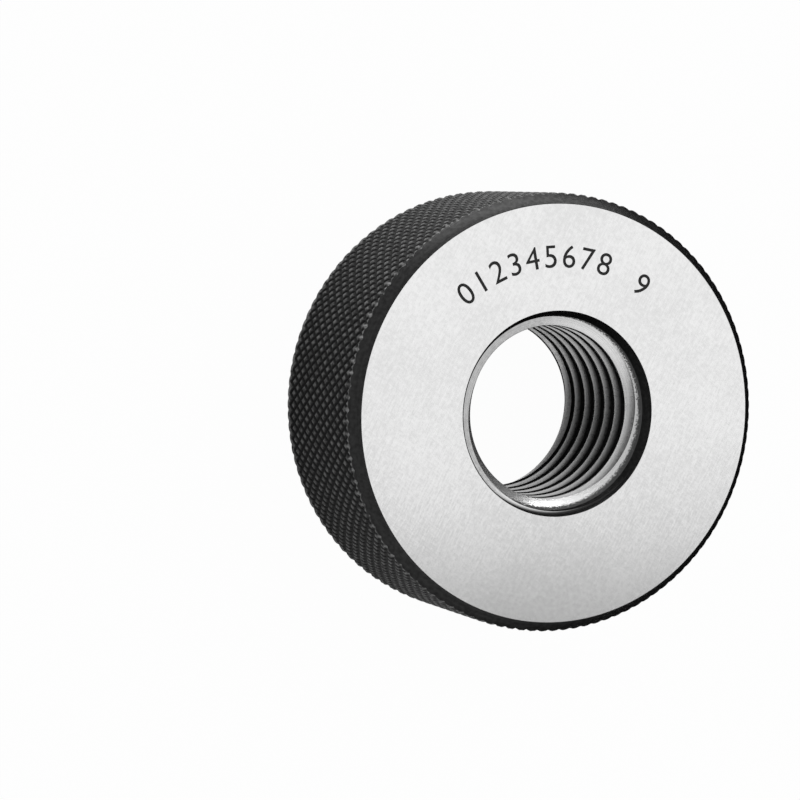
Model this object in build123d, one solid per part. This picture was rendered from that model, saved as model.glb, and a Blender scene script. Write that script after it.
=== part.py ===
from build123d import *
from build123d.topology import SkipClean
import os
from math import cos, pi, radians, sin, tan

# A solid thread ring gauge for the trapezoidal thread 24 mm x 3 mm, in millimetres.
# The ring lies on its rear face: the axis is +Z, the marked face is at z = thickness,
# and the origin is the centre of the rear face.

# blank
outer_diameter = 53.0           # over the tips of the knurl
thickness = 24.0
face_diameter = 50.4            # flat of each ground face, inside the outer chamfer
chamfer_length = 1.5            # outer chamfer, along the axis

# bore entry, the same at both ends
entry_diameter = 24.8
lead_diameter = 23.4            # where the turned chamfer meets the ground lead
entry_depth = 1.2
lead_depth = 2.3

# trapezoidal thread, right-hand, 30 degrees between the flanks
thread_pitch = 3.0
minor_diameter = 21.0           # crests
major_diameter = 24.5           # roots, with the clearance of a nut thread
flank_angle = 15.0
crest_width = 0.366 * thread_pitch
groove_height = 0.36            # a groove's middle, on the +X side, past a whole pitch

# diamond knurl: two crossing families of V grooves leave rows of pyramids
knurl_count = 90                # pyramids in a row
knurl_bands = 13                # bands of pyramid flanks from chamfer to chamfer
knurl_depth = 0.42

outer_radius = outer_diameter / 2
valley_radius = outer_radius - knurl_depth
face_radius = face_diameter / 2
entry_radius = entry_diameter / 2
lead_radius = lead_diameter / 2
minor_radius = minor_diameter / 2
major_radius = major_diameter / 2

# the chamfer meets the knurl's valleys at this height, and cuts the end tips off above it
chamfer_slope = (outer_radius - face_radius) / chamfer_length
valley_height = (valley_radius - face_radius) / chamfer_slope
band_height = (thickness - 2 * valley_height) / knurl_bands
tip_cut = knurl_depth / (knurl_depth + chamfer_slope * band_height)


def on_ring(half_step, radius, height):
    """A point at a whole number of half knurl steps round the ring."""
    angle = half_step * pi / knurl_count
    return Vector(radius * cos(angle), radius * sin(angle), height)


def knurl_corner(row, half_step):
    """A tip or a valley of the knurl: they take turns round a row, and from row to row."""
    height = valley_height + row * band_height
    if (half_step - row) % 2:
        return on_ring(half_step, valley_radius, height)
    if row in (0, knurl_bands):
        inward = 1 if row == 0 else -1
        height += inward * tip_cut * band_height
        return on_ring(half_step, outer_radius - tip_cut * knurl_depth, height)
    return on_ring(half_step, outer_radius, height)


def flat_face(*corners):
    return Face(Wire.make_polygon(corners, close=True))


def knurl_faces():
    """Four flat triangles for each tip, the whole way round and up."""
    faces = []
    for row in range(knurl_bands):
        for column in range(knurl_count):
            tip = 2 * column + row % 2
            lower_tip = knurl_corner(row, tip)
            lower_valley = knurl_corner(row, tip + 1)
            next_lower_tip = knurl_corner(row, tip + 2)
            upper_valley = knurl_corner(row + 1, tip)
            upper_tip = knurl_corner(row + 1, tip + 1)
            next_upper_valley = knurl_corner(row + 1, tip + 2)
            faces += [
                flat_face(lower_tip, lower_valley, upper_valley),
                flat_face(lower_valley, upper_tip, upper_valley),
                flat_face(lower_valley, next_lower_tip, next_upper_valley),
                flat_face(lower_valley, next_upper_valley, upper_tip),
            ]
    return faces


def end_faces(row, height):
    """A ground face and the chamfer round it, in one narrow facet for each knurl step."""
    first_valley = 1 + row % 2
    rim = [on_ring(first_valley + 2 * column, face_radius, height) for column in range(knurl_count)]
    faces = [flat_face(*rim)]
    for column in range(knurl_count):
        valley = first_valley + 2 * column
        cut_tip = knurl_corner(row, valley + 1)
        rim_start = rim[column]
        rim_end = rim[(column + 1) % knurl_count]
        faces += [
            flat_face(rim_start, knurl_corner(row, valley), cut_tip),
            flat_face(rim_start, cut_tip, rim_end),
            flat_face(rim_end, cut_tip, knurl_corner(row, valley + 2)),
        ]
    return faces


def knurled_blank():
    faces = knurl_faces() + end_faces(0, 0) + end_faces(knurl_bands, thickness)
    return Solid(Shell(faces))


def bore_quarters():
    """The plain hole: the crests' cylinder, a ground lead and a turned chamfer at each end.

    It is cut in four quarters, so that a wall of the thread's crest is a quarter turn long.
    """
    flare = entry_radius - lead_radius
    lower_half = [
        (0, -entry_depth),
        (entry_radius + flare, -entry_depth),
        (lead_radius, entry_depth),
        (minor_radius, lead_depth),
    ]
    upper_half = [(radius, thickness - height) for radius, height in reversed(lower_half)]
    section = Polyline(*lower_half, *upper_half, close=True)
    quarter = revolve(Plane.XZ * make_face(section), Axis.Z, revolution_arc=90)
    return [Rotation(0, 0, angle) * quarter for angle in (0, 90, 180, 270)]


def groove_turn(height):
    """One turn of the thread's groove, a little long so that it meets the next one."""
    overlap = 0.01
    opening = 0.3                # the cutter stands this far into the bore
    taper = tan(radians(flank_angle))
    mouth_half = (thread_pitch - crest_width) / 2
    inner_half = mouth_half + opening * taper
    root_half = mouth_half - (major_radius - minor_radius) * taper
    tooth = Polyline(
        (minor_radius - opening, height - inner_half),
        (major_radius, height - root_half),
        (major_radius, height + root_half),
        (minor_radius - opening, height + inner_half),
        close=True,
    )
    path = Helix(thread_pitch, (1 + overlap) * thread_pitch, major_radius, (0, 0, height))
    return sweep(Plane.XZ * make_face(tooth), path, is_frenet=True)


def groove():
    """The whole groove, from a turn below the rear face to a turn above the marked one."""
    turns = round(thickness / thread_pitch) + 2
    heights = [groove_height + (turn - 1) * thread_pitch for turn in range(turns)]
    whole = groove_turn(heights[0])
    for height in heights[1:]:
        whole += groove_turn(height)
    return whole


thread_cutter = groove()
with SkipClean():
    gauge_ring = knurled_blank() - [*bore_quarters(), thread_cutter]

os.makedirs("parts", exist_ok=True)
export_step(gauge_ring, "parts/gauge_ring.step")
print("gauge_ring", round(gauge_ring.volume), "mm3,", len(gauge_ring.faces()), "faces")
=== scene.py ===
from math import hypot, pi, radians, tan

import bpy
from mathutils import Matrix, Vector


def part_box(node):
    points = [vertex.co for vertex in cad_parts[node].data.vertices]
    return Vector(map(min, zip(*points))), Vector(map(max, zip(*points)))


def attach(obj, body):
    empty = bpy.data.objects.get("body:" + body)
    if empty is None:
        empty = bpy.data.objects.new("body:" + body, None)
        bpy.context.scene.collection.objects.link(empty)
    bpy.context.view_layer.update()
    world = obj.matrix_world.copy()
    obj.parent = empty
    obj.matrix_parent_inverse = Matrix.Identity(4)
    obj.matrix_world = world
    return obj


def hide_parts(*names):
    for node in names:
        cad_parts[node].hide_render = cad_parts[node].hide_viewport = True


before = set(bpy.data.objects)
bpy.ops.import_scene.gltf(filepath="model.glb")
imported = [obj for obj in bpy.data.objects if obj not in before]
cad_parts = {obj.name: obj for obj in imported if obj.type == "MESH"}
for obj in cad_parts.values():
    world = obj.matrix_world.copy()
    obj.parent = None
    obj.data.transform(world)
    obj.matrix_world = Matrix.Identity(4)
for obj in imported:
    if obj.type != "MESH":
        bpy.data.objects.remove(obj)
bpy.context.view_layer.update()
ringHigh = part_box("gauge_ring")[1]
mm = 0.001
tiny = 0.002 * mm       # two places nearer than this are one
level = 0.99            # a face lies level when its normal's Z is past this
usualNoise = (0.3, 0.7)     # most of a noise's values lie between these


# modelling helpers

def startClean():
    if bpy.context.object and bpy.context.object.mode != "OBJECT":
        bpy.ops.object.mode_set(mode="OBJECT")
    bpy.ops.object.select_all(action="DESELECT")


def pick(piece):
    startClean()
    piece.select_set(True)
    bpy.context.view_layer.objects.active = piece


def editAll(piece):
    pick(piece)
    bpy.ops.object.mode_set(mode="EDIT")
    bpy.ops.mesh.select_mode(type="VERT")
    bpy.ops.mesh.select_all(action="SELECT")


# edit mode, with only the faces selected for which wanted(face) is true
def editFaces(piece, wanted):
    pick(piece)
    mesh = piece.data
    for part in (mesh.vertices, mesh.edges):
        part.foreach_set("select", [False] * len(part))
    mesh.polygons.foreach_set("select", [bool(wanted(face)) for face in mesh.polygons])
    bpy.ops.object.mode_set(mode="EDIT")
    bpy.ops.mesh.select_mode(type="FACE")


# the same for vertices, by their place
def editVertices(piece, wanted):
    pick(piece)
    mesh = piece.data
    for part in (mesh.polygons, mesh.edges):
        part.foreach_set("select", [False] * len(part))
    mesh.vertices.foreach_set("select", [bool(wanted(vertex.co)) for vertex in mesh.vertices])
    bpy.ops.object.mode_set(mode="EDIT")
    bpy.ops.mesh.select_mode(type="VERT")


def leaveEdit():
    bpy.ops.object.mode_set(mode="OBJECT")


def named(name):
    piece = bpy.context.object
    piece.name = name
    piece.data.name = name
    return piece


def applyModifiers(piece):
    pick(piece)
    for modifier in list(piece.modifiers):
        bpy.ops.object.modifier_apply(modifier=modifier.name)


def repeatAlong(piece, step, count):
    array = piece.modifiers.new("Array", "ARRAY")
    array.use_relative_offset = False
    array.use_constant_offset = True
    array.constant_offset_displace = step
    array.count = count


# cuts with or intersects the other piece, and uses it up
def combine(piece, other, operation):
    boolean = piece.modifiers.new("Boolean", "BOOLEAN")
    boolean.operation = operation
    boolean.solver = "MANIFOLD"
    boolean.object = other
    applyModifiers(piece)
    bpy.data.objects.remove(other)


# an open line through (radius, height) corners on the +X side
def drawProfile(name, corners):
    startClean()
    bpy.ops.mesh.primitive_plane_add(size=mm)
    profile = named(name)
    editAll(profile)
    bpy.ops.mesh.merge(type="CENTER")
    radius, height = corners[0]
    bpy.ops.transform.translate(value=(radius, 0, height))
    for nextRadius, nextHeight in corners[1:]:
        move = (nextRadius - radius, 0, nextHeight - height)
        bpy.ops.mesh.extrude_region_move(TRANSFORM_OT_translate={"value": move})
        radius, height = nextRadius, nextHeight
    leaveEdit()
    return profile


# turns a profile that starts and ends on the axis into a closed body
def spinRound(profile, steps):
    editAll(profile)
    bpy.ops.mesh.spin(steps=steps, angle=2 * pi, center=(0, 0, 0), axis=(0, 0, 1))
    bpy.ops.mesh.select_all(action="SELECT")
    bpy.ops.mesh.remove_doubles(threshold=tiny)
    bpy.ops.mesh.normals_make_consistent(inside=False)
    leaveEdit()


# cuts a long piece square below and above the ring, and closes the ends
def trimEnds(piece, spare):
    editAll(piece)
    bpy.ops.mesh.remove_doubles(threshold=tiny)
    for height, side in ((-spare, -1), (ring["thickness"] + spare, 1)):
        bpy.ops.mesh.select_all(action="SELECT")
        bpy.ops.mesh.bisect(
            plane_co=(0, 0, height), plane_no=(0, 0, side),
            use_fill=True, clear_outer=True, threshold=tiny,
        )
    bpy.ops.mesh.select_all(action="SELECT")
    bpy.ops.mesh.normals_make_consistent(inside=False)
    leaveEdit()


# the ring

ring = {
    "thickness": ringHigh.z,
    "outerRadius": ringHigh.x,
    "faceRadius": 25.2 * mm,
    "chamferLength": 1.5 * mm,
    "edgeRound": 0.05 * mm,
    "edgeSegments": 2,
    "lipRadius": 26.40 * mm,    # past this the knurl's ends lean in steeper than the chamfer
    "lipLean": radians(20),
    "roundSteps": 230,
    "spare": 0.3 * mm,          # how far the blank stands out past the knurl
    "smoothTo": radians(22),    # edges flatter than this are shaded smooth
}
chamferSlope = (ring["outerRadius"] - ring["faceRadius"]) / ring["chamferLength"]


# the plain turned disc with its two chamfers, each with a steeper lip at its rim
def turnedBlank():
    blankRadius = ring["outerRadius"] + ring["spare"]
    lipWidth = blankRadius - ring["lipRadius"]
    lipDepth = (ring["lipRadius"] - ring["faceRadius"]) / chamferSlope
    startClean()
    bpy.ops.mesh.primitive_cylinder_add(
        vertices=ring["roundSteps"], radius=blankRadius,
        depth=ring["thickness"], location=(0, 0, ring["thickness"] / 2),
    )
    bpy.ops.object.transform_apply()
    blank = named("turnedBlank")
    editFaces(blank, lambda face: abs(face.normal.z) > level)
    bpy.ops.mesh.inset(thickness=lipWidth, use_individual=True)
    bpy.ops.mesh.inset(thickness=ring["lipRadius"] - ring["faceRadius"], use_individual=True)
    leaveEdit()
    chamferMiddle = (ring["lipRadius"] + ring["faceRadius"]) / 2
    lipMiddle = ring["lipRadius"] + lipWidth / 2
    for end, side in ((0, 1), (ring["thickness"], -1)):
        editVertices(blank, lambda co: hypot(co.x, co.y) > chamferMiddle and abs(co.z - end) < tiny)
        bpy.ops.transform.translate(value=(0, 0, side * lipDepth))
        leaveEdit()
        lip = end + side * lipDepth
        editVertices(blank, lambda co: hypot(co.x, co.y) > lipMiddle and abs(co.z - lip) < tiny)
        bpy.ops.transform.translate(value=(0, 0, side * lipWidth / tan(ring["lipLean"])))
        leaveEdit()
    editFaces(blank, lambda face: abs(face.normal.z) > level)
    bpy.ops.mesh.region_to_loop()
    bpy.ops.mesh.bevel(offset=ring["edgeRound"], segments=ring["edgeSegments"], affect="EDGES")
    leaveEdit()
    return blank


knurl = {
    "count": 115,           # pyramids in a row
    "bands": 18,            # half rows from chamfer to chamfer
    "depth": 0.25 * mm,
    "valleyWidth": 0.06 * mm,
    "tipHalfWidth": 0.22 * mm,
    "tipRound": 0.08 * mm,
    "flankShare": 0.92,     # of the depth, up to where the tip starts to round
    "tipShare": 0.08,
    "spareRows": 3,
    "spare": 0.4 * mm,      # how far the sleeve reaches past each end of the ring
}


# diamonds raised from a flat sheet, repeated, rolled round the axis and capped
def knurlSleeve():
    across = 2 * pi * ring["outerRadius"] / knurl["count"]
    firstRow = (ring["outerRadius"] - knurl["depth"] - ring["faceRadius"]) / chamferSlope
    along = 2 * (ring["thickness"] - 2 * firstRow) / knurl["bands"]
    halfWidth = across * along / hypot(across, along) / 2
    flank = halfWidth - knurl["valleyWidth"] / 2 - knurl["tipHalfWidth"]
    startClean()
    bpy.ops.mesh.primitive_circle_add(vertices=4, radius=1, fill_type="NGON", rotation=(pi / 2, 0, 0))
    bpy.ops.object.transform_apply()
    sleeve = named("knurlSleeve")
    editAll(sleeve)
    bpy.ops.transform.resize(value=(across / 2, 1, along / 2))
    bpy.ops.transform.translate(value=(0, knurl["depth"], firstRow - along))
    bpy.ops.mesh.inset(thickness=knurl["valleyWidth"] / 2)
    bpy.ops.mesh.inset(thickness=flank, depth=knurl["depth"] * knurl["flankShare"])
    bpy.ops.mesh.inset(thickness=knurl["tipRound"], depth=knurl["depth"] * knurl["tipShare"])
    leaveEdit()
    rows = round(ring["thickness"] / along) + knurl["spareRows"]
    repeatAlong(sleeve, (0, 0, along), rows)
    repeatAlong(sleeve, (across / 2, 0, along / 2), 2)
    repeatAlong(sleeve, (across, 0, 0), knurl["count"])
    applyModifiers(sleeve)
    editAll(sleeve)
    bpy.ops.mesh.remove_doubles(threshold=tiny)
    bpy.ops.transform.translate(value=(-knurl["count"] * across / 2, 0, 0))
    leaveEdit()
    # every second row stands out half a diamond, which laps over where the roll closes
    roll = sleeve.modifiers.new("Roll", "SIMPLE_DEFORM")
    roll.deform_method = "BEND"
    roll.deform_axis = "Z"
    roll.angle = 2 * pi * (knurl["count"] + 0.5) / knurl["count"]
    applyModifiers(sleeve)
    editAll(sleeve)
    bpy.ops.transform.translate(value=(0, -ring["outerRadius"], 0))
    leaveEdit()
    trimEnds(sleeve, knurl["spare"])
    return sleeve


thread = {
    "pitch": 3.0 * mm,
    "minorRadius": 10.5 * mm,
    "majorRadius": 12.25 * mm,
    "flankAngle": radians(15),
    "crestWidth": 1.098 * mm,
    "crestRound": 0.05 * mm,
    "rootRound": 0.15 * mm,
    "rootBend": (0.3, 0.15, 0.7),   # shares of it: the bend's way in and up, and where the floor starts
    "grooveHeight": 0.36 * mm,  # a groove's middle on the +X side, past a whole pitch
    "steps": 128,
    "spareTurns": 2,            # turns below the ring, and as many above
    "spare": 1.0 * mm,          # how much of them is kept past each face
}


# the space in the threaded bore: one pitch of its outline, screwed up through the ring
def threadPlug():
    pitch = thread["pitch"]
    crest = thread["crestWidth"] / 2
    lean = tan(thread["flankAngle"])
    minor, major = thread["minorRadius"], thread["majorRadius"]
    flankRise = (major - minor) * lean
    crestRound, rootRound = thread["crestRound"], thread["rootRound"]
    bendIn, bendUp, floorUp = thread["rootBend"]
    rising = [
        (minor, crest - crestRound),
        (minor + crestRound, crest + crestRound * lean),
        (major - rootRound, crest + flankRise - rootRound * lean),
        (major - rootRound * bendIn, crest + flankRise + rootRound * bendUp),
        (major, crest + flankRise + rootRound * floorUp),
    ]
    outline = [(minor, crestRound - crest)] + rising
    outline += [(radius, pitch - height) for radius, height in reversed(rising)]
    start = thread["grooveHeight"] - (thread["spareTurns"] + 0.5) * pitch
    plug = drawProfile("threadPlug", [(radius, start + height) for radius, height in outline])
    screw = plug.modifiers.new("Screw", "SCREW")
    screw.steps = thread["steps"]
    screw.render_steps = thread["steps"]
    screw.screw_offset = pitch
    screw.iterations = round(ring["thickness"] / pitch) + 2 * thread["spareTurns"]
    applyModifiers(plug)
    trimEnds(plug, thread["spare"])
    return plug


bore = {
    "entryRadius": 12.4 * mm,
    "leadRadius": 11.7 * mm,
    "entryDepth": 1.2 * mm,
    "leadDepth": 2.3 * mm,
    "roundSteps": 256,
    "above": 0.6 * mm,      # how far the cutter reaches past the face
    "below": 0.5 * mm,      # and past the end of the lead
}


# the turned chamfer and the ground lead at the marked end, as one stepped cone
def entryCutter():
    above, below = bore["above"], bore["below"]
    flare = (bore["entryRadius"] - bore["leadRadius"]) / bore["entryDepth"]
    taper = (bore["leadRadius"] - thread["minorRadius"]) / (bore["leadDepth"] - bore["entryDepth"])
    top = ring["thickness"]
    cutter = drawProfile("entryCutter", [
        (0, top + above),
        (bore["entryRadius"] + above * flare, top + above),
        (bore["leadRadius"], top - bore["entryDepth"]),
        (thread["minorRadius"] - below * taper, top - bore["leadDepth"] - below),
        (0, top - bore["leadDepth"] - below),
    ])
    spinRound(cutter, bore["roundSteps"])
    return cutter


# the same cutter, turned over for the rear end
def rearCopy(cutter):
    pick(cutter)
    bpy.ops.object.duplicate()
    copy = bpy.context.object
    middle = Matrix.Translation((0, 0, ring["thickness"] / 2))
    copy.data.transform(middle @ Matrix.Rotation(pi, 4, "X") @ middle.inverted())
    return copy


numbers = {
    "row": "012345678",
    "rowFrom": radians(131),
    "rowTo": radians(73),
    "single": "9",
    "singleAngle": radians(56),
    "middleRadius": 18.95 * mm,
    "height": 2.8 * mm,
    "depth": 0.12 * mm,
    "textSize": 1.39,       # the type's size for each unit of a digit's height
    "curveSteps": 5,
}


# one digit as a solid that stands across the marked face, its foot towards the bore
def engravedDigit(digit, angle):
    startClean()
    bpy.ops.object.text_add()
    text = bpy.context.object
    text.data.body = digit
    text.data.align_x = "CENTER"
    text.data.size = numbers["height"] * numbers["textSize"]
    text.data.resolution_u = numbers["curveSteps"]
    text.data.extrude = numbers["depth"]
    bpy.ops.object.convert(target="MESH")
    solid = bpy.context.object
    editAll(solid)
    bpy.ops.mesh.remove_doubles(threshold=tiny)
    leaveEdit()
    foot = numbers["middleRadius"] - numbers["height"] / 2
    solid.data.transform(Matrix.Rotation(angle - pi / 2, 4, "Z")
                         @ Matrix.Translation((0, foot, ring["thickness"])))
    return solid


# all the digits, joined in one cutter
def engraving():
    last = len(numbers["row"]) - 1
    turn = (numbers["rowTo"] - numbers["rowFrom"]) / last
    digits = [engravedDigit(digit, numbers["rowFrom"] + place * turn)
              for place, digit in enumerate(numbers["row"])]
    digits.append(engravedDigit(numbers["single"], numbers["singleAngle"]))
    startClean()
    for digit in digits:
        digit.select_set(True)
    bpy.context.view_layer.objects.active = digits[0]
    bpy.ops.object.join()
    return bpy.context.object


def gaugeRing():
    piece = turnedBlank()
    print("knurl")
    combine(piece, knurlSleeve(), "INTERSECT")
    print("bore and thread")
    combine(piece, threadPlug(), "DIFFERENCE")
    cutter = entryCutter()
    rear = rearCopy(cutter)
    combine(piece, cutter, "DIFFERENCE")
    combine(piece, rear, "DIFFERENCE")
    print("numbers")
    combine(piece, engraving(), "DIFFERENCE")
    pick(piece)
    return named("gaugeRing")


# material helpers

def newMaterial(name):
    material = bpy.data.materials.new(name)
    material.use_nodes = True
    return material, material.node_tree


# inputs are either linked or set to plain values
def setInputs(tree, node, inputs):
    for name, value in inputs.items():
        if isinstance(value, bpy.types.NodeSocket):
            tree.links.new(value, node.inputs[name])
        else:
            node.inputs[name].default_value = value


# a node with its inputs, and its own settings such as the operation
def addNode(tree, kind, inputs={}, **settings):
    node = tree.nodes.new("ShaderNode" + kind)
    for name, value in settings.items():
        setattr(node, name, value)
    setInputs(tree, node, inputs)
    return node


def finishShader(tree, inputs):
    setInputs(tree, tree.nodes["Principled BSDF"], inputs)


def grey(shade):
    return (shade, shade, shade, 1)


def calculate(tree, operation, *values):
    return addNode(tree, "Math", dict(enumerate(values)), operation=operation).outputs[0]


# a value's range spread over another range, clamped at both ends
def spread(tree, value, fromLow, fromHigh, toLow=0.0, toHigh=1.0):
    return addNode(tree, "MapRange", {
        "Value": value, "From Min": fromLow, "From Max": fromHigh, "To Min": toLow, "To Max": toHigh,
    }, interpolation_type="SMOOTHSTEP").outputs["Result"]


def blend(tree, share, first, second):
    return addNode(tree, "Mix", {"Factor": share, 6: first, 7: second}, data_type="RGBA").outputs[2]


def objectPlace(tree):
    return addNode(tree, "TexCoord").outputs["Object"]


# noise whose grains have the given size along three axes, turned about the ring's axis
def grains(tree, size, turn=0.0, detail=3.0):
    grid = addNode(tree, "Mapping", {
        "Vector": objectPlace(tree), "Rotation": (0, 0, turn), "Scale": size,
    }, vector_type="TEXTURE")
    noise = addNode(tree, "TexNoise", {"Vector": grid.outputs[0], "Scale": 1.0, "Detail": detail})
    return noise.outputs[0]


# distance from the ring's axis, or from a line beside it
def axisDistance(tree, shift=(0, 0, 0)):
    place = addNode(tree, "VectorMath", {0: objectPlace(tree), 1: shift}, operation="ADD").outputs[0]
    axes = addNode(tree, "SeparateXYZ", {"Vector": place})
    flat = addNode(tree, "CombineXYZ", {"X": axes.outputs["X"], "Y": axes.outputs["Y"]})
    return addNode(tree, "VectorMath", {0: flat.outputs[0]}, operation="LENGTH").outputs["Value"]


# depth under the nearer end face
def endDepth(tree):
    axes = addNode(tree, "SeparateXYZ", {"Vector": objectPlace(tree)})
    half = ring["thickness"] / 2
    offMiddle = calculate(tree, "ABSOLUTE", calculate(tree, "SUBTRACT", axes.outputs["Z"], half))
    return calculate(tree, "SUBTRACT", half, offMiddle)


# fine rings left by the tool: noise that changes fast with across and slowly round the axis
def toolRings(tree, across, spacing):
    around = addNode(tree, "VectorMath", {0: objectPlace(tree)}, operation="NORMALIZE").outputs[0]
    axes = addNode(tree, "SeparateXYZ", {"Vector": around})
    rings = calculate(tree, "DIVIDE", across, spacing)
    place = addNode(tree, "CombineXYZ", {"X": axes.outputs["X"], "Y": axes.outputs["Y"], "Z": rings})
    return addNode(tree, "TexNoise", {"Vector": place.outputs[0], "Scale": 1.0}).outputs[0]


def bumped(tree, height, distance):
    return addNode(tree, "Bump", {"Height": height, "Distance": distance}).outputs[0]


# finishes

faceGrind = {
    "dull": 0.72,
    "bright": 0.82,
    "streak": (1.9 * mm, 0.20 * mm, 1 * mm),
    "streakTurn": radians(64),
    "crossTurn": radians(-38),
    "mottle": (0.45 * mm, 0.45 * mm, 0.45 * mm),
    "cloud": (9 * mm, 9 * mm, 9 * mm),
    "cloudDetail": 1.0,
    "crossShare": 0.5,          # how much each shows beside the main streaks
    "mottleShare": 1.6,
    "cloudShare": 0.8,
    "shadeRange": (1.45, 2.45),     # their sum at the dullest and the brightest
    "lineRange": (0.5, 1.0),
    "roughness": (0.20, 0.15),
    "bump": 0.002 * mm,
}


# ground steel: fine streaks one way, fainter ones across them, and a soft mottle
def groundFace():
    material, tree = newMaterial("groundFace")
    streaks = grains(tree, faceGrind["streak"], faceGrind["streakTurn"])
    crossing = grains(tree, faceGrind["streak"], faceGrind["crossTurn"])
    mottle = grains(tree, faceGrind["mottle"])
    cloud = grains(tree, faceGrind["cloud"], detail=faceGrind["cloudDetail"])
    lines = calculate(tree, "MULTIPLY_ADD", crossing, faceGrind["crossShare"], streaks)
    shade = calculate(tree, "MULTIPLY_ADD", mottle, faceGrind["mottleShare"], lines)
    shade = calculate(tree, "MULTIPLY_ADD", cloud, faceGrind["cloudShare"], shade)
    shade = spread(tree, shade, *faceGrind["shadeRange"])
    finishShader(tree, {
        "Base Color": blend(tree, shade, grey(faceGrind["dull"]), grey(faceGrind["bright"])),
        "Metallic": 1.0,
        "Roughness": spread(tree, lines, *faceGrind["lineRange"], *faceGrind["roughness"]),
        "Normal": bumped(tree, lines, faceGrind["bump"]),
    })
    return material


blackening = {
    # painted shade: the colour of the knurl's valleys
    "valleyShade": 0.002,
    "black": 0.007,
    "faded": 0.022,
    "worn": 0.17,
    "edgeWorn": 0.28,
    "patch": (0.5 * mm, 0.5 * mm, 0.5 * mm),
    "speck": (0.09 * mm, 0.09 * mm, 0.09 * mm),
    "valleyShadeTo": 26.28 * mm,    # painted shade makes the valleys blackest up to here
    "flankTo": 26.44 * mm,
    "tipFrom": 26.38 * mm,
    "tipTo": 26.48 * mm,
    "edgeWear": (0.40 * mm, 0.80 * mm),     # how far the wear reaches down from the chamfers
    "unevenRange": (0.35, 0.65),
    "leastWear": 0.15,
    "wornMetal": 0.8,
    "roughness": (0.50, 0.36),
    "sheen": 0.07,
    "bump": 0.006 * mm,
}


# blackened knurl, with painted shade in its valleys, rubbed on the blunt tips and along the chamfers
def blackKnurl():
    material, tree = newMaterial("blackKnurl")
    radius, depth = axisDistance(tree), endDepth(tree)
    patches = grains(tree, blackening["patch"])
    specks = grains(tree, blackening["speck"])
    tips = spread(tree, radius, blackening["tipFrom"], blackening["tipTo"])
    fromFace = calculate(tree, "SUBTRACT", radius, ring["faceRadius"])
    cone = calculate(tree, "DIVIDE", fromFace, chamferSlope)
    edge = spread(tree, calculate(tree, "SUBTRACT", depth, cone), *blackening["edgeWear"], 1.0, 0.0)
    rubbed = calculate(tree, "MAXIMUM", tips, edge)
    uneven = spread(tree, patches, *blackening["unevenRange"], blackening["leastWear"], 1.0)
    wear = calculate(tree, "MULTIPLY", rubbed, uneven)
    worn = blend(tree, edge, grey(blackening["worn"]), grey(blackening["edgeWorn"]))
    black = blend(tree, specks, grey(blackening["black"]), grey(blackening["faded"]))
    # painted shade: the knurl's valleys are painted near black, darker than the blackening elsewhere
    raised = spread(tree, radius, blackening["valleyShadeTo"], blackening["flankTo"])
    black = blend(tree, raised, grey(blackening["valleyShade"]), black)
    finishShader(tree, {
        "Base Color": blend(tree, wear, black, worn),
        "Metallic": calculate(tree, "MULTIPLY", wear, blackening["wornMetal"]),
        "Roughness": spread(tree, specks, *usualNoise, *blackening["roughness"]),
        "Specular IOR Level": blackening["sheen"],
        "Normal": bumped(tree, specks, blackening["bump"]),
    })
    return material


chamferBlack = {
    "dark": 0.024,
    "pale": 0.044,
    "glancing": 0.12,       # the blackening reflects little at a glancing angle
    "ringGap": 0.07 * mm,
    "ringShare": 0.6,       # how much the tool rings show beside the patches
    "shadeRange": (0.5, 1.1),
    "roughness": (0.40, 0.30),
    "bump": 0.003 * mm,
}


# blackened turned chamfers, with faint tool rings
def blackChamfer():
    material, tree = newMaterial("blackChamfer")
    rings = toolRings(tree, axisDistance(tree), chamferBlack["ringGap"])
    specks = grains(tree, blackening["speck"])
    patches = grains(tree, blackening["patch"])
    shade = calculate(tree, "MULTIPLY_ADD", rings, chamferBlack["ringShare"], patches)
    shade = spread(tree, shade, *chamferBlack["shadeRange"])
    finishShader(tree, {
        "Base Color": blend(tree, shade, grey(chamferBlack["dark"]), grey(chamferBlack["pale"])),
        "Metallic": 1.0,
        "Specular Tint": grey(chamferBlack["glancing"]),
        "Roughness": spread(tree, specks, *usualNoise, *chamferBlack["roughness"]),
        "Normal": bumped(tree, rings, chamferBlack["bump"]),
    })
    return material


leadGrind = {
    "dull": 0.70,
    "bright": 0.92,
    "scale": 0.05,          # what is left of the black scale
    "scaleTo": 10.9 * mm,   # the black scale thins out from the rim to this far from its middle
    "scaleFrom": 11.9 * mm,
    "offCentre": (0.20 * mm, -0.12 * mm, 0),    # the scale's middle is shifted off the axis, so its band is wider towards +X and -Y
    "spot": (0.16 * mm, 0.16 * mm, 0.16 * mm),
    "spotDetail": 6.0,
    "rimShare": 0.7,        # how much the rim weighs beside the spots
    "scaleRange": (0.80, 1.05),
    "mostScale": 0.95,
    "scaleMetal": 0.3,
    "roughness": (0.27, 0.5),   # of the clean steel, and of the scale
    "sheen": 0.1,
    "ringGap": 0.05 * mm,
    "bump": 0.002 * mm,
}


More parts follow.
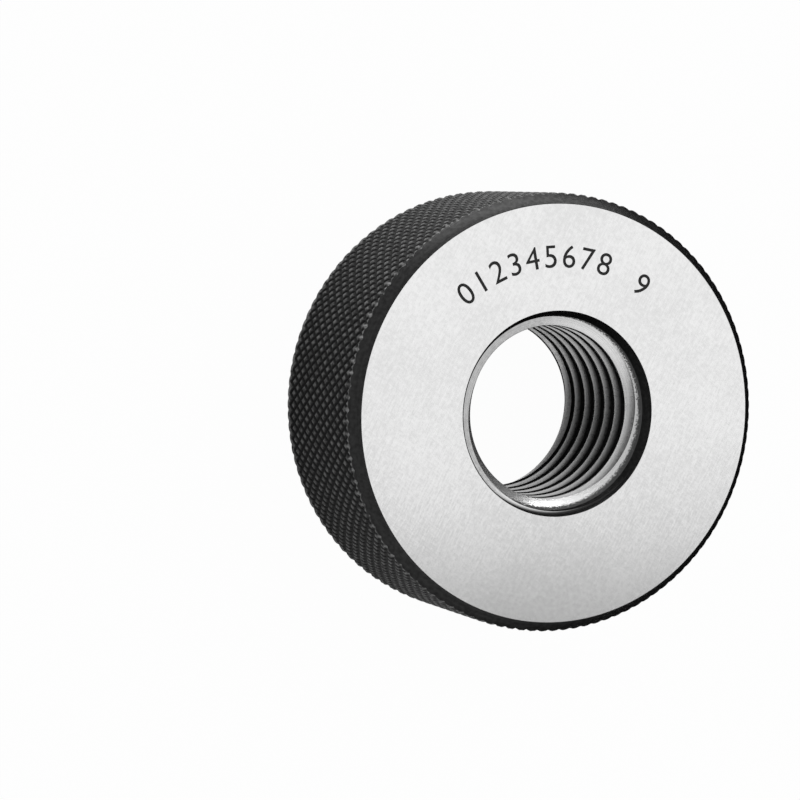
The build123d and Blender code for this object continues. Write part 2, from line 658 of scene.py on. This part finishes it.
# ground lead: bright rings, with the chamfer's black scale left in an uneven band along its rim
def groundLead():
    material, tree = newMaterial("groundLead")
    rings = toolRings(tree, axisDistance(tree), leadGrind["ringGap"])
    spots = grains(tree, leadGrind["spot"], detail=leadGrind["spotDetail"])
    steel = blend(tree, rings, grey(leadGrind["dull"]), grey(leadGrind["bright"]))
    offRadius = axisDistance(tree, leadGrind["offCentre"])
    rim = spread(tree, offRadius, leadGrind["scaleTo"], leadGrind["scaleFrom"])
    scale = calculate(tree, "MULTIPLY_ADD", rim, leadGrind["rimShare"], spots)
    scale = spread(tree, scale, *leadGrind["scaleRange"], 0.0, leadGrind["mostScale"])
    finishShader(tree, {
        "Base Color": blend(tree, scale, steel, grey(leadGrind["scale"])),
        "Metallic": spread(tree, scale, 0.0, 1.0, 1.0, leadGrind["scaleMetal"]),
        "Roughness": spread(tree, scale, 0.0, 1.0, *leadGrind["roughness"]),
        "Specular IOR Level": leadGrind["sheen"],
        "Normal": bumped(tree, rings, leadGrind["bump"]),
    })
    return material


threadCut = {
    "dull": 0.38,
    "bright": 0.72,
    "litFirstDull": 0.60,          # the first turn is painted brighter, painted light near the bore's mouth
    "litFirstBright": 0.90,
    # the colour of the painted root shade, which also stands for black skin, and of the run-out's black
    # scale
    "root": 0.015,
    "brightTo": 10.6 * mm,      # the flanks are clean up to here, and from the next place on darken towards the root, painted shade that also stands for black skin left there
    "rootFrom": 11.4 * mm,
    "litFirstTo": 3.7 * mm,        # but the first turn, down to here, has painted light and none of the painted root shade
    "nextFrom": 4.5 * mm,
    "scaleFrom": 11.8 * mm,     # and its run-out is black past here from the scale's middle,
    "scaleTo": 12.2 * mm,
    "scaleFade": 0.15 * mm,     # down to a little below the turned chamfer
    "ringGap": 0.06 * mm,
    "patchShare": 0.5,          # how much the patches show beside the tool rings
    "shadeRange": (0.45, 1.05),
    "rootMetal": 0.5,
    "roughness": (0.26, 0.36),
    "bump": 0.002 * mm,
}


# cut thread: grey steel with fine rings across each flank, and painted shade towards the root that also
# stands for the black skin left there
def threadFlank():
    material, tree = newMaterial("threadFlank")
    radius, depth = axisDistance(tree), endDepth(tree)
    rings = toolRings(tree, radius, threadCut["ringGap"])
    patches = grains(tree, blackening["patch"])
    shade = calculate(tree, "MULTIPLY_ADD", patches, threadCut["patchShare"], rings)
    shade = spread(tree, shade, *threadCut["shadeRange"])
    # painted light: the first turn gets a brighter copy of the steel's greys, the deeper turns a duller
    # one as painted shade
    first = blend(tree, shade, grey(threadCut["litFirstDull"]), grey(threadCut["litFirstBright"]))
    steel = blend(tree, shade, grey(threadCut["dull"]), grey(threadCut["bright"]))
    past = spread(tree, depth, threadCut["litFirstTo"], threadCut["nextFrom"])
    steel = blend(tree, past, first, steel)
    # painted shade: each flank is painted darker towards the root, partly for the black skin left
    # there, except on the first turn
    dark = spread(tree, radius, threadCut["brightTo"], threadCut["rootFrom"])
    root = calculate(tree, "MULTIPLY", dark, past)
    offRadius = axisDistance(tree, leadGrind["offCentre"])
    scale = spread(tree, offRadius, threadCut["scaleFrom"], threadCut["scaleTo"])
    chamferEnd = bore["entryDepth"] + threadCut["scaleFade"]
    inChamfer = spread(tree, depth, bore["entryDepth"], chamferEnd, 1.0, 0.0)
    root = calculate(tree, "MAXIMUM", root, calculate(tree, "MULTIPLY", scale, inChamfer))
    finishShader(tree, {
        "Base Color": blend(tree, root, steel, grey(threadCut["root"])),
        "Metallic": spread(tree, root, 0.0, 1.0, 1.0, threadCut["rootMetal"]),
        "Roughness": spread(tree, patches, *usualNoise, *threadCut["roughness"]),
        "Normal": bumped(tree, rings, threadCut["bump"]),
    })
    return material


crestSkin = {
    "black": 0.004,
    "faded": 0.014,
    "patchShare": 0.7,
    "shadeRange": (0.5, 1.2),
    "roughness": 0.5,
    "sheen": 0.03,
    "bump": 0.002 * mm,
}


# the thread's crests keep their black skin
def threadCrest():
    material, tree = newMaterial("threadCrest")
    rings = toolRings(tree, endDepth(tree), threadCut["ringGap"])
    patches = grains(tree, blackening["patch"])
    shade = calculate(tree, "MULTIPLY_ADD", patches, crestSkin["patchShare"], rings)
    shade = spread(tree, shade, *crestSkin["shadeRange"])
    finishShader(tree, {
        "Base Color": blend(tree, shade, grey(crestSkin["black"]), grey(crestSkin["faded"])),
        "Metallic": 0.0,
        "Roughness": crestSkin["roughness"],
        "Specular IOR Level": crestSkin["sheen"],
        "Normal": bumped(tree, rings, crestSkin["bump"]),
    })
    return material


digitEtch = {
    "dark": 0.02,
    "pale": 0.06,
    "roughness": 0.7,
    "sheen": 0.2,
    "bump": 0.01 * mm,
}


# dark etched digits
def digitFill():
    material, tree = newMaterial("digitFill")
    specks = grains(tree, blackening["speck"])
    finishShader(tree, {
        "Base Color": blend(tree, specks, grey(digitEtch["dark"]), grey(digitEtch["pale"])),
        "Metallic": 0.0,
        "Roughness": digitEtch["roughness"],
        "Specular IOR Level": digitEtch["sheen"],
        "Normal": bumped(tree, specks, digitEtch["bump"]),
    })
    return material


finishes = [groundFace, blackKnurl, blackChamfer, groundLead, threadFlank, threadCrest, digitFill]


# a face's lean is its normal's Z: 0 on an upright wall, 1 on a level face
leans = {
    "outerChamfer": 0.5,
    "boreChamfer": 0.4,
    "lead": 0.6,
    "flank": 0.9,
}


# which finish a face has, by its place and its lean
def finishOf(face):
    radius = hypot(face.center.x, face.center.y)
    depth = min(face.center.z, ring["thickness"] - face.center.z)
    lean = abs(face.normal.z)
    if depth < tiny and lean > level:
        return groundFace
    if radius > ring["faceRadius"] - 2 * ring["edgeRound"]:
        cone = (radius - ring["faceRadius"]) / chamferSlope
        onCone = depth - cone < ring["edgeRound"] and lean > leans["outerChamfer"]
        return blackChamfer if onCone else blackKnurl
    if radius > bore["entryRadius"] + tiny:
        return digitFill
    if lean > leans["flank"]:
        return threadFlank
    if lean > leans["lead"] and radius < bore["leadRadius"] + tiny:
        return groundLead
    if lean > leans["boreChamfer"] and depth < bore["entryDepth"] + tiny:
        return blackChamfer
    if radius < thread["minorRadius"] + 0.5 * thread["crestRound"]:
        return threadCrest
    return threadFlank


def finishPiece(piece):
    piece.data.materials.clear()    # the cuts leave empty slots
    for make in finishes:
        piece.data.materials.append(make())
    for face in piece.data.polygons:
        face.material_index = finishes.index(finishOf(face))
    # a crisp edge wherever two finishes meet
    for index in range(len(finishes)):
        editFaces(piece, lambda face: face.material_index == index)
        bpy.ops.mesh.region_to_loop()
        bpy.ops.mesh.mark_sharp()
        leaveEdit()
    pick(piece)
    bpy.ops.object.shade_smooth_by_angle(angle=ring["smoothTo"])


# the stage

stage = {
    "floorRadius": 3.0,
    "floorSides": 96,
    "gap": 0.02 * mm,       # the floor lies this far under the ring
    "floorColour": 0.78,
    "floorRoughness": 0.9,
    "ownLight": 0.975,      # share of the floor that shows plain white
    "mirrored": (0, 45 * mm),   # metal sees it grow to plain white from here to there along Y, painted light at the back and painted shade at the front
    "overhead": 0.34,       # the world's strength straight up
    "horizon": 0.85,        # and level with the floor
    "skyRange": (0.1, 0.9),     # it changes between these heights of the direction
}


# a pale floor that the camera sees as white, and metal too towards the back, with painted shade at its
# front where metal mirrors it
def paleFloor():
    startClean()
    bpy.ops.mesh.primitive_circle_add(
        vertices=stage["floorSides"], radius=stage["floorRadius"], fill_type="NGON",
        location=(0, 0, -stage["gap"]),
    )
    floor = named("floor")
    material, tree = newMaterial("paleFloor")
    finishShader(tree, {"Base Color": grey(stage["floorColour"]), "Roughness": stage["floorRoughness"]})
    path = addNode(tree, "LightPath").outputs
    axes = addNode(tree, "SeparateXYZ", {"Vector": objectPlace(tree)})
    # painted light and shade: metal mirrors the floor darker at the front and white at the back
    paintedBackLight = spread(tree, axes.outputs["Y"], *stage["mirrored"])
    mirrored = calculate(tree, "MULTIPLY", path["Is Glossy Ray"], paintedBackLight)
    seen = calculate(tree, "MAXIMUM", path["Is Camera Ray"], path["Is Transmission Ray"])
    share = calculate(tree, "MULTIPLY_ADD", seen, stage["ownLight"], mirrored)
    white = addNode(tree, "Emission", {"Color": grey(1.0), "Strength": 1.0})
    mix = addNode(tree, "MixShader", {
        "Fac": share,
        1: tree.nodes["Principled BSDF"].outputs[0],
        2: white.outputs[0],
    })
    tree.links.new(mix.outputs[0], tree.nodes["Material Output"].inputs["Surface"])
    floor.data.materials.append(material)


# soft light from all round, paler towards the horizon
def studioWorld():
    world = bpy.data.worlds.new("studio")
    bpy.context.scene.world = world
    world.use_nodes = True
    tree = world.node_tree
    direction = addNode(tree, "TexCoord").outputs["Generated"]
    height = addNode(tree, "SeparateXYZ", {"Vector": direction}).outputs["Z"]
    background = tree.nodes["Background"]
    background.inputs["Color"].default_value = grey(1.0)
    strength = spread(tree, height, *stage["skyRange"], stage["horizon"], stage["overhead"])
    tree.links.new(strength, background.inputs["Strength"])


# place, the way the light shines, width and length, and the brightness each adds to the world's
lamps = {
    "faceLamp": {
        "place": (0.17, 0.130, 0.43), "shines": (0, 0, -1), "size": (0.38, 0.40), "glow": 0.72,
    },
    "threadLamp": {
        "place": (0.07, -0.245, 0.43), "shines": (0, 0, -1), "size": (0.38, 0.21), "glow": 0.7,
    },
    "backLamp": {
        "place": (0.10, 0.60, 0.055), "shines": (0, -1, 0), "size": (0.80, 0.11), "glow": 7.0,
    },
}


def softLamps():
    for name, lamp in lamps.items():
        width, length = lamp["size"]
        light = bpy.data.lights.new(name, "AREA")
        light.shape = "RECTANGLE"
        light.size, light.size_y = width, length
        light.energy = lamp["glow"] * pi * width * length
        fixture = bpy.data.objects.new(name, light)
        bpy.context.scene.collection.objects.link(fixture)
        fixture.location = lamp["place"]
        fixture.rotation_euler = Vector(lamp["shines"]).to_track_quat("-Z", "Y").to_euler()
        fixture.visible_camera = False


camera = {
    "place": (-155.5 * mm, 24.8 * mm, 372.1 * mm),
    "lens": 143.4,
    "sensor": 36.0,
    "shift": (-0.198, 0.0174),
    "nearest": 0.01,        # nothing nearer than this is seen
}


# aims at the middle of the marked face, with the ring's X axis level in the picture
def placeCamera():
    data = bpy.data.cameras.new("camera")
    data.lens = camera["lens"]
    data.sensor_width = camera["sensor"]
    data.shift_x, data.shift_y = camera["shift"]
    data.clip_start = camera["nearest"]
    view = bpy.data.objects.new("camera", data)
    bpy.context.scene.collection.objects.link(view)
    place = Vector(camera["place"])
    forward = (Vector((0, 0, ring["thickness"])) - place).normalized()
    up = Vector((1, 0, 0)).cross(forward).normalized()
    right = forward.cross(up)
    turn = Matrix((right, up, -forward)).transposed().to_4x4()
    view.matrix_world = Matrix.Translation(place) @ turn
    bpy.context.scene.camera = view


print("ring")
gauge = gaugeRing()
print("finishes")
finishPiece(gauge)
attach(gauge, "root")
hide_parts("gauge_ring")
print("stage")
paleFloor()
studioWorld()
softLamps()
placeCamera()
bpy.context.scene.view_settings.view_transform = "Standard"
startClean()
